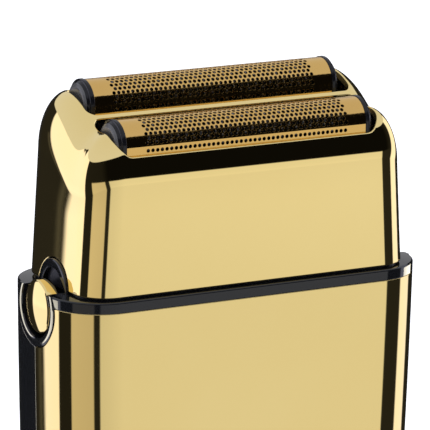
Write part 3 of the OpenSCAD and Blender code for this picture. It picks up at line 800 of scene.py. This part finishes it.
def make_rim():
    marks = ring_marks(BODY_HX, BODY_HY, CORNER_R, 24, 8, 8)
    rim = lofted("rim", rounded_stack(RIM_Z - RIM_H, RIM_Z, 0.3, 0.12), marks)
    for side in (-1, 1):
        profile = [(27.3, 4.68), (30.75, 4.68), (30.93, 4.74), (31.0, 4.9), (31.0, 5.75),
                   (30.93, 5.97), (30.75, RING_R), (27.3, RING_R), (27.3, 4.68)]
        ring = revolved(profile, BUTTON_Z, 120, side).build("ring")
        cut_box(ring, (-40, -20, RIM_Z - 0.02), (40, 20, RIM_Z + 10))
        drill(rim, 4.68, (side * 26.9, 0, BUTTON_Z), (side * 40, 0, BUTTON_Z), 120)
        combine(rim, ring, "UNION")
    for x0, x1, y0, y1 in ((-9, 9, -8.6, 6.5), (-26.4, -24.8, -2.6, 2.6), (24.8, 26.4, -2.6, 2.6)):
        cut_box(rim, (x0, y0, 80), (x1, y1, 90))

    def crown(p, n):
        if abs(p.x) > 30.5 and abs(n.x) > 0.97:
            n = n + Vector((0, 0.01 * p.y, 0.004 * (p.z - BUTTON_Z)))
        return n

    return turned(crisp(rim, 30), crown)


finish_piece(make_rim(), "black_gloss", "handle", "top_rim")


def make_base():
    marks = ring_marks(BODY_HX, BODY_HY, CORNER_R, 20, 8, 8)
    stack = [(0.0, 1.3), (0.08, 1.05), (0.22, 0.75), (0.45, 0.48), (0.8, 0.22), (1.25, 0.06),
             (1.8, 0.0), (CAP_H - 0.12, 0.0), (CAP_H - 0.02, 0.05), (CAP_H, 0.15)]
    base = lofted("base", stack, marks)
    drill(base, 3.55, (0, 0, -2), (0, 0, 8))
    for x in (-15, 15):
        drill(base, 1.9, (x, 2, -2), (x, 2, 2.0))
        drill(base, 0.95, (x, 2, -2), (x, 2, 8))
    spigot = lofted("spigot", [(CAP_H - 0.5, 1.7), (CAP_H + 2.8, 1.7), (CAP_H + 3, 1.9)], marks)
    combine(spigot, lofted("cut", [(CAP_H - 2, 2.8), (CAP_H + 5, 2.8)], marks))
    combine(base, spigot, "UNION")
    for x in (-15, 15):
        pillar = rod_mesh("pillar", 2.4, (x, 2, 2.5), (x, 2, 9))
        combine(base, drill(pillar, 0.95, (x, 2, 1), (x, 2, 12)), "UNION")
    return crisp(base, 25)


finish_piece(make_base(), "black_gloss", "handle", "base_cap")


# ---- release buttons and arch trims ----------------------------------------

TRIM_ENDS = (5.2, 174.8)


def lean_dome(p, n):
    """Puts the dome's reflections a little off the middle."""
    if abs(p.x) > 30.6 and abs(n.x) > 0.9:
        n = Vector((n.x, 1.25 * n.y - 0.055, 1.1 * n.z))
    return n


for side, label in ((-1, "left"), (1, "right")):
    centre = BUTTON_FACE - DOME_R
    face = [(28.7, 0.0), (28.7, 3.9), (28.85, BUTTON_R), (30.36, BUTTON_R), (30.47, 4.06),
            (30.56, 3.98), (30.63, 3.88)]
    face += [(centre + math.sqrt(DOME_R ** 2 - r * r), r) for r in np.linspace(3.78, 0, 19)]
    button = revolved(face, BUTTON_Z, 128, side).build(f"button_{label}")
    for y0, y1, x0, x1 in ((-3.6, -2.8, 23.2, 28), (2.8, 3.6, 23.2, 28), (-3.6, 3.6, 23.2, 24.1)):
        lo, hi = sorted((side * x0, side * x1))
        combine(button, box_mesh("rail", (lo, y0, 80.7), (hi, y1, 82.7)), "UNION")
    turned(crisp(button, 32), lean_dome)
    finish_piece(button, "gold_plate", f"{label}_button", f"release_button_{label}")

    trim = [(25.3, 3.36), (27.95, 3.36), (28.06, 3.42), (28.12, 3.56), (28.12, 4.5),
            (28.06, 4.66), (27.95, 4.74), (25.3, 4.74), (25.3, 3.36)]
    skin = revolved(trim, ARCH_Z, 72, side, *TRIM_ENDS)
    for end, angle in zip((-1, 1), TRIM_ENDS):
        a = math.radians(angle)
        ring = [(side * x, r * math.cos(a), ARCH_Z + r * math.sin(a)) for x, r in trim[:-1]]
        skin.add(ring[:: side * end], [tuple(range(len(ring)))])
    skin.tube([[(side * x, 3.4 * math.cos(a), ARCH_Z + 3.4 * math.sin(a))
                for a in np.radians(np.linspace(6, 174, 40))] for x in (27.3, 26.9)],
              flip=side > 0)
    finish_piece(skin.build(f"arch_trim_{label}"), "black_gloss", "head")


# ---- foils and their carriers ----------------------------------------------

PITCH, HOLE_R, HOLES_HX = 0.79, 0.305, 17.3
FOLD_GAP = 0.004
ROW = PITCH * math.sqrt(3) / 2
HALF_ARC = FOIL_R * math.pi / 2
ARC_EASE = math.radians(62)


def make_foil(y, z, name):
    """Sheet of six-sided cells, most of them with a round hole, bent over an arch. A strip
    with one row of holes is folded down along each side."""
    points, faces = [], []
    corner = PITCH / math.sqrt(3)
    turns = [math.radians(30 * j + 30) for j in range(12)]

    def cell(outer, middle, pierced):
        first = len(points)
        points.extend(outer)
        if pierced:
            points.extend((middle[0] + HOLE_R * math.cos(a), middle[1] + HOLE_R * math.sin(a))
                          for a in turns)
            faces.extend((first + 12 + j, first + 12 + (j + 1) % 12, first + (j + 1) % 12,
                          first + j) for j in range(12))
        else:
            points.append(middle)
            faces.extend((first + 12, first + (j + 1) % 12, first + j) for j in range(12))

    for k in range(-9, 9):
        q = (k + 0.5) * ROW
        for i in range(-27, 28):
            x = i * PITCH + (PITCH / 2 if k % 2 else 0)
            if abs(x) - corner > FOIL_HX or abs(q) - corner > HALF_ARC:
                continue
            outer = [(x + (PITCH / 2 if j % 2 else corner) * math.cos(a),
                      q + (PITCH / 2 if j % 2 else corner) * math.sin(a))
                     for j, a in enumerate(turns)]
            cell(outer, (x, q), abs(x) < HOLES_HX and abs(q) < HALF_ARC - 0.3)
    flat = np.array(points)
    x = np.clip(flat[:, 0], -FOIL_HX, FOIL_HX)
    a = np.clip(flat[:, 1], -HALF_ARC, HALF_ARC) / FOIL_R
    shade = np.sign(a) * np.where(np.abs(a) < ARC_EASE, np.abs(a),
                                  ARC_EASE + (np.abs(a) - ARC_EASE) * 0.64)
    p = np.stack([x + FOIL_SHIFT, y - FOIL_R * np.sin(a), z + FOIL_R * np.cos(a)], 1)
    n = np.stack([np.zeros_like(a), -np.sin(shade), np.cos(shade)], 1)
    sheet = Skin().add(p, solid_faces(p, faces), n)
    half, tall = FOIL_HX / 52, FOIL_DROP / 2
    for side in (-1, 1):
        points, faces = [], []
        for i in range(52):
            x = (2 * i - 51) * half
            outer = [(x + u * half, v * tall) for u, v in (
                (1, 0.5), (1, 1), (0, 1), (-1, 1), (-1, 0.5), (-1, 0),
                (-1, -0.5), (-1, -1), (0, -1), (1, -1), (1, -0.5), (1, 0))]
            cell(outer, (x, 0.06), abs(x) < HOLES_HX)
        flat = np.array(points)
        p = np.stack([flat[:, 0] + FOIL_SHIFT, np.full(len(flat), y + side * FOIL_R),
                      z - tall - FOLD_GAP + flat[:, 1]], 1)
        n = np.tile([0.0, side * 1.0, 0.0 if y < 0 else 0.18], (len(flat), 1))
        sheet.add(p, solid_faces(p, [f if side > 0 else f[::-1] for f in faces]), unit(n))
    return thickened(sheet, 0.1, 0.02, 1).build(name)


def solid_faces(points, faces):
    """Leaves out faces that clamping has flattened to nothing."""
    kept = []
    for f in faces:
        v = points[list(f)]
        area = np.cross(v, np.roll(v, -1, 0)).sum(0)
        if np.linalg.norm(area) > 1e-5:
            kept.append(f)
    return kept


def arch_ring(y, z, x, r, drop, steps=40):
    """Half-round outline with straight sides, at one place along X."""
    ring = [(x, y - r * math.sin(a), z + r * math.cos(a))
            for a in np.linspace(-math.pi / 2, math.pi / 2, steps)]
    return [(x, y + r, z - drop), (x, y + r, z - drop / 2)] + ring + [
        (x, y - r, z - drop / 2), (x, y - r, z - drop)]


CAP_PROFILE = [(20.38, 3.58), (20.42, 3.67), (20.5, 3.71), (20.95, 3.71), (21.06, 3.67),
               (21.1, 3.58), (21.12, 3.42), (21.18, 3.34), (21.32, 3.28), (21.52, 3.12),
               (21.7, 2.88), (21.8, 2.62), (21.82, 2.46), (21.76, 2.2), (21.66, 1.8),
               (21.6, 1.2), (21.58, 0.5)]


def make_carrier(y, z, name):
    skin = Skin()
    for side in (-1, 1):
        rings = [arch_ring(y, z, side * x + FOIL_SHIFT, r, 4.3 * min(1, r / 3.2))
                 for x, r in CAP_PROFILE]
        for first, last in ((0, 7), (6, 12), (11, 17)):
            skin.grid(rings[first:last], wrap=True, flip=side < 0)
        n = len(rings[0])
        skin.add(rings[-1], [tuple(range(n)) if side > 0 else tuple(range(n))[::-1]])
        skin.add(rings[0], [tuple(range(n))[::-1] if side > 0 else tuple(range(n))])
    carrier = skin.build(name)
    for side in (-1, 1):
        x0, x1 = sorted((side * 20.4, side * 22.3))
        leg = crisp(box_mesh("leg", (x0, y - 3, LEG_Z), (x1, y + 3, z - 4)), 28)
        join(carrier, leg)
    for dy in (-3.66, 2.95):
        join(carrier, box_mesh("rail", (-20.4, y + dy, z - 4.45), (20.4, y + dy + 0.71, z - 1.47)))
    return carrier


def join(base, other):
    """Adds another mesh's closed shape to a piece, keeping the piece's own normals."""
    a, b = base.data, other.data
    points = [tuple(v.co) for v in a.vertices] + [tuple(v.co) for v in b.vertices]
    shift = len(a.vertices)
    faces = [tuple(f.vertices) for f in a.polygons] + [
        tuple(i + shift for i in f.vertices) for f in b.polygons]
    normals = [tuple(n.vector) for n in a.corner_normals]
    for f in b.polygons:
        normals += [tuple(f.normal)] * len(f.vertices)
    base.data = shaded_mesh(base.name, points, faces, normals)
    bpy.data.objects.remove(other)


for label, (y, z) in AXES.items():
    finish_piece(make_foil(y, z, f"foil_sheet_{label}"), "gold_foil", f"{label}_foil_unit",
                 f"foil_{label}")
    finish_piece(make_carrier(y, z, f"carrier_{label}"), "black_plastic", f"{label}_foil_unit",
                 f"foil_carrier_{label}", look="cap_plastic")
    carrier = bpy.data.objects[f"carrier_{label}"]
    # Second material: the painted reflection, a lighter grey on the caps' flat ends past the
    # foil's end.
    carrier.data.materials.append(MATERIALS["cap_end_painted_sheen"])
    for face in carrier.data.polygons:
        p = face.center / MM
        if abs(p.x - FOIL_SHIFT) > 21.55 and p.z > z - 3.6:
            face.material_index = 1


# ---- springs ---------------------------------------------------------------

def make_spring(name, foot, axis, length, r, wire, turns):
    """Coil with closed end turns. axis is 'x', '-x' or 'z'."""
    t = np.linspace(0, 1, 28 * turns + 1)
    rise = np.clip((t * turns - 0.6) / (turns - 1.2), 0, 1)
    angle = 2 * math.pi * turns * t
    path = np.stack([r * np.cos(angle), r * np.sin(angle),
                     wire + (length - 2 * wire) * rise], 1)
    tangent = unit(np.gradient(path, axis=0))
    side = unit(np.stack([path[:, 0], path[:, 1], np.zeros(len(path))], 1))
    up = np.cross(tangent, side)
    rings, shades = [], []
    for k in range(10):
        a = 2 * math.pi * k / 10
        shades.append(side * math.cos(a) + up * math.sin(a))
        rings.append(path + wire * shades[-1])
    rows, shades = np.stack(rings, 1), np.stack(shades, 1)
    turn = {"z": np.eye(3), "x": np.array([[0, 0, 1], [0, 1, 0], [-1, 0, 0]]),
            "-x": np.array([[0, 0, -1], [0, 1, 0], [1, 0, 0]])}[axis]
    rows, shades = rows @ turn.T + np.array(foot), shades @ turn.T
    return Skin().tube(rows, flip=True, normals=shades).build(name)


for label, (y, z) in AXES.items():
    for side, name in ((-1, "left"), (1, "right")):
        spring = make_spring(f"foil_coil_{label}_{name}", (side * 21.4, y, LEDGE_Z), "z",
                             LEG_Z - LEDGE_Z, 0.8, 0.15, 6)
        finish_piece(spring, "steel", "head", f"foil_spring_{label}")
        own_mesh(spring)
    foot, length = z - 12, 4.5
    spring = make_spring(f"cutter_coil_{label}", (0, y, foot), "z", length, 2.8, 0.2, 5)
    finish_piece(spring, "steel", f"{label}_arm", f"cutter_spring_{label}")
    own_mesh(spring)
for side, label in ((-1, "left"), (1, "right")):
    spring = make_spring(f"button_coil_{label}", (side * 20.5, 0, 81.7),
                         "x" if side > 0 else "-x", 2.7, 0.75, 0.15, 4)
    finish_piece(spring, "steel", "handle", f"button_spring_{label}")
    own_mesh(spring)


# ---- power switch ----------------------------------------------------------

def make_slider():
    hx, z0, h = SWITCH[:3]
    rows = []
    for y, inset in ((-10.42, 0.0), (-11.6, 0.0), (-11.85, 0.08), (-12.0, 0.25), (-12.05, 0.5)):
        ring = corner_points(0, z0 + h / 2, hx - inset, h / 2 - inset, 0.9)
        rows.append([(x, y, z) for x, z in ring])
    skin = Skin().tube(rows)
    for i in range(7):
        mid = z0 + h / 2 + (i - 3) * 1.5
        rows = []
        for x in np.linspace(-1, 1, 25):
            r = 0.34 * math.sqrt(max(0.02, 1 - abs(x) ** 8))
            rows.append([(x * (hx - 1), -12.03 - r * math.sin(t), mid + r * math.cos(t))
                         for t in np.linspace(0, math.pi, 13)])
        skin.tube(rows)
    slider = skin.build("slide_switch")
    join(slider, box_mesh("finger", (-1.2, -10.5, 32), (1.2, -8.4, 35)))
    return slider


finish_piece(make_slider(), "black_plastic", "power_slider", "switch_slider")


# ---- carried-over nodes ----------------------------------------------------

FINISHES = {
    "steel": "base_screws chassis_screws battery_tabs charging_pin motor motor_screws "
             "frame_screws guide_rods motor_shaft",
    "grey_plastic": "chassis switch_unit motor_frame",
    "black_plastic": "switch_bezel charging_socket head_frame",
    "ivory_plastic": "eccentric_cam drive_arm_front drive_arm_rear cutter_holder_front "
                     "cutter_holder_rear",
    # cutter blades: steel darkened with painted shade
    "steel_painted_shade": "cutter_blades_front cutter_blades_rear",
    "soft_rubber": "motor_pad drive_seal",
    "cell_sleeve": "battery_cells", "board": "circuit_board", "led_lens": "power_led",
}
LOOK_OF = {node: look for look, names in FINISHES.items() for node in names.split()}
for node, obj in frame["nodes"].items():
    if not obj.hide_render:
        coat(obj, LOOK_OF.get(node, "black_plastic"))


# ---- studio ----------------------------------------------------------------

def make_floor():
    mesh = bpy.data.meshes.new("floor")
    mesh.from_pydata([(-6, -6, 0), (6, -6, 0), (6, 6, 0), (-6, 6, 0)], [], [(0, 1, 2, 3)])
    floor = linked("floor", mesh)
    mat = bpy.data.materials.new("pale_floor")
    mat.use_nodes = True
    for key, value in (("Base Color", (0.9, 0.9, 0.9, 1)), ("Roughness", 0.9),
                       ("Specular IOR Level", 0.0), ("Emission Color", (1, 1, 1, 1)),
                       ("Emission Strength", 0.72)):
        mat.node_tree.nodes["Principled BSDF"].inputs[key].default_value = value
    floor.data.materials.append(mat)
    floor.visible_glossy = floor.visible_shadow = False


# Brightness of the walls round the object, as (azimuth in degrees, value): below the eye's
# height, and above it.
BANDS_LOW = [
    (-180, 0.016), (-170, 0.016), (-168, 0.59), (-124, 0.55), (-122, 0.02), (-111.5, 0.02),
    (-109.5, 0.69), (-92, 0.72), (-60, 0.80), (-56, 0.80), (-54, 0.02), (-20, 0.02),
    (-17, 1.15), (10, 1.15), (14, 0.018), (117.3, 0.02), (117.8, 0.16), (118.3, 0.02),
    (119.8, 0.022), (120.6, 1.15), (160, 1.15), (162, 0.016), (180, 0.016)]
BANDS_MID = [
    (-180, 0.014), (-130, 0.012), (-110, 0.004), (-40, 0.004), (-20, 0.02), (-17, 1.15),
    (10, 1.15), (14, 0.018), (119.6, 0.02), (120.8, 1.15), (160, 1.15), (162, 0.016),
    (180, 0.014)]
SHADING = [(0.0, 0.925), (0.45, 1.04), (1.0, 1.0)]
FRONT = (0.5, -0.866, 0)
PATCH_AZIMUTH, PATCH_HEIGHT = math.radians(61.3), math.radians(14)


def facing(azimuth, elevation):
    return Vector((math.cos(azimuth) * math.cos(elevation),
                   math.sin(azimuth) * math.cos(elevation), math.sin(elevation)))


def tinted(value):
    """White where it is brightest, warm where it is half bright, and neutral elsewhere."""
    tone = (1.0, 1.0, 1.22) if value > 1 else (1.05, 0.97, 0.86) if 0.4 < value < 0.6 else (
        1, 1, 1)
    return (*[value * t for t in tone], 1)


def make_world():
    world = bpy.data.worlds.new("studio")
    bpy.context.scene.world = world
    world.use_nodes = True
    world.node_tree.nodes.clear()
    add = node_adder(world.node_tree)
    direction = add("TexCoord", {}).outputs["Generated"]
    x, y, height = add("SeparateXYZ", {0: direction}).outputs

    def calc(operation, *values):
        return add("Math", dict(enumerate(values)), operation=operation).outputs[0]

    def dot(vector):
        return add("VectorMath", {0: direction, 1: vector}, operation="DOT_PRODUCT"
                   ).outputs["Value"]

    def ramp(source, stops):
        node = add("ValToRGB", {0: source})
        elements = node.color_ramp.elements
        while len(elements) > 1:
            elements.remove(elements[-1])
        for i, (place, color) in enumerate(stops):
            e = elements[0] if i == 0 else elements.new(place)
            e.position, e.color = place, color
        return node.outputs[0]

    def blend(factor, a, b, mode="MIX"):
        return add("Mix", {0: factor, 6: a, 7: b}, data_type="RGBA", blend_type=mode
                   ).outputs[2]

    def ramp_up(source, start, end):
        return add("MapRange", {"Value": source, "From Min": start, "From Max": end}
                   ).outputs["Result"]

    azimuth = calc("MULTIPLY_ADD", calc("ARCTAN2", y, x), 1 / (2 * math.pi), 0.5)
    low, mid = (ramp(azimuth, [((angle + 180) / 360, tinted(value)) for angle, value in stops])
                for stops in (BANDS_LOW, BANDS_MID))
    shading = ramp(ramp_up(height, -0.25, -0.12),
                   [(place, (value, value, value, 1)) for place, value in SHADING])
    walls = blend(ramp_up(height, -0.015, 0.01), blend(1.0, low, shading, "MULTIPLY"), mid)
    top = blend(ramp_up(height, 0.3, 1.0), (0.71, 0.74, 0.86, 1), (0.68, 0.69, 0.74, 1))
    edge = calc("MULTIPLY_ADD", dot(FRONT), 0.15, 0.45)
    light = blend(ramp_up(height, edge, calc("ADD", edge, 0.012)), walls, top)
    patch = ramp_up(dot(facing(PATCH_AZIMUTH, PATCH_HEIGHT)), 0.982, 0.99)
    light = blend(patch, light, (0.5, 0.5, 0.52, 1))
    seen = blend(add("LightPath", {}).outputs["Is Camera Ray"], light,
                 (0.985, 0.985, 0.985, 1))
    background = add("Background", {"Color": seen}).outputs[0]
    add("OutputWorld", {"Surface": background})


def make_lamp(name, place, aim, power, **settings):
    data = bpy.data.lights.new(name, "AREA")
    data.energy = power
    for key, value in settings.items():
        setattr(data, key, value)
    lamp = bpy.data.objects.new(name, data)
    bpy.context.scene.collection.objects.link(lamp)
    lamp.location = place
    lamp.rotation_euler = (Vector(aim) - Vector(place)).to_track_quat("-Z", "Y").to_euler()
    return lamp


def make_card(name, side, azimuth, width, pieces):
    """Bright card off to one side, mirrored by the black gloss parts only."""
    middle = Vector((side * 0.031, 0, 0.082))
    place = middle + 0.3 * facing(math.radians(azimuth), math.radians(-13))
    lamp = make_lamp(name, place, middle, 0.5, shape="RECTANGLE", size=width, size_y=0.12,
                     color=(1.0, 0.92, 0.70))
    lamp.visible_camera = False
    group = bpy.data.collections.new(name)
    for piece in pieces:
        group.objects.link(piece)
    lamp.light_linking.receiver_collection = group


make_floor()
make_world()
key = make_lamp("key", (-0.5, -0.6, 0.9), (0, 0, 0.06), 3.0, shape="SQUARE", size=0.5)
key.visible_glossy = False
gloss = [o for o in bpy.data.objects if o.type == "MESH" and o.get("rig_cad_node") is None
         and o.data.materials and o.data.materials[0] == MATERIALS["black_gloss"]
         and not o.name.startswith("arch_trim")]
make_card("card_left", -1, 138.5, 0.175, gloss)
make_card("card_right", 1, 6.5, 0.166, gloss)


def make_camera():
    azimuth, elevation, roll = (math.radians(v) for v in (28.71, 13.64, 0.873))
    back = facing(-math.pi / 2 - azimuth, elevation)
    right = Vector((math.cos(azimuth), -math.sin(azimuth), 0))
    up = back.cross(right)
    x = right * math.cos(roll) + up * math.sin(roll)
    y = up * math.cos(roll) - right * math.sin(roll)
    data = bpy.data.cameras.new("camera")
    data.lens, data.sensor_width = 339.4, 36.0
    data.clip_start, data.clip_end = 0.02, 20.0
    camera = bpy.data.objects.new("camera", data)
    bpy.context.scene.collection.objects.link(camera)
    place = Vector((-0.571, 0, 92.75)) * MM + back * 0.617
    camera.matrix_world = Matrix((
        (x[0], y[0], back[0], place[0]), (x[1], y[1], back[1], place[1]),
        (x[2], y[2], back[2], place[2]), (0, 0, 0, 1)))
    bpy.context.scene.camera = camera


make_camera()
bpy.context.scene.view_settings.view_transform = "Standard"
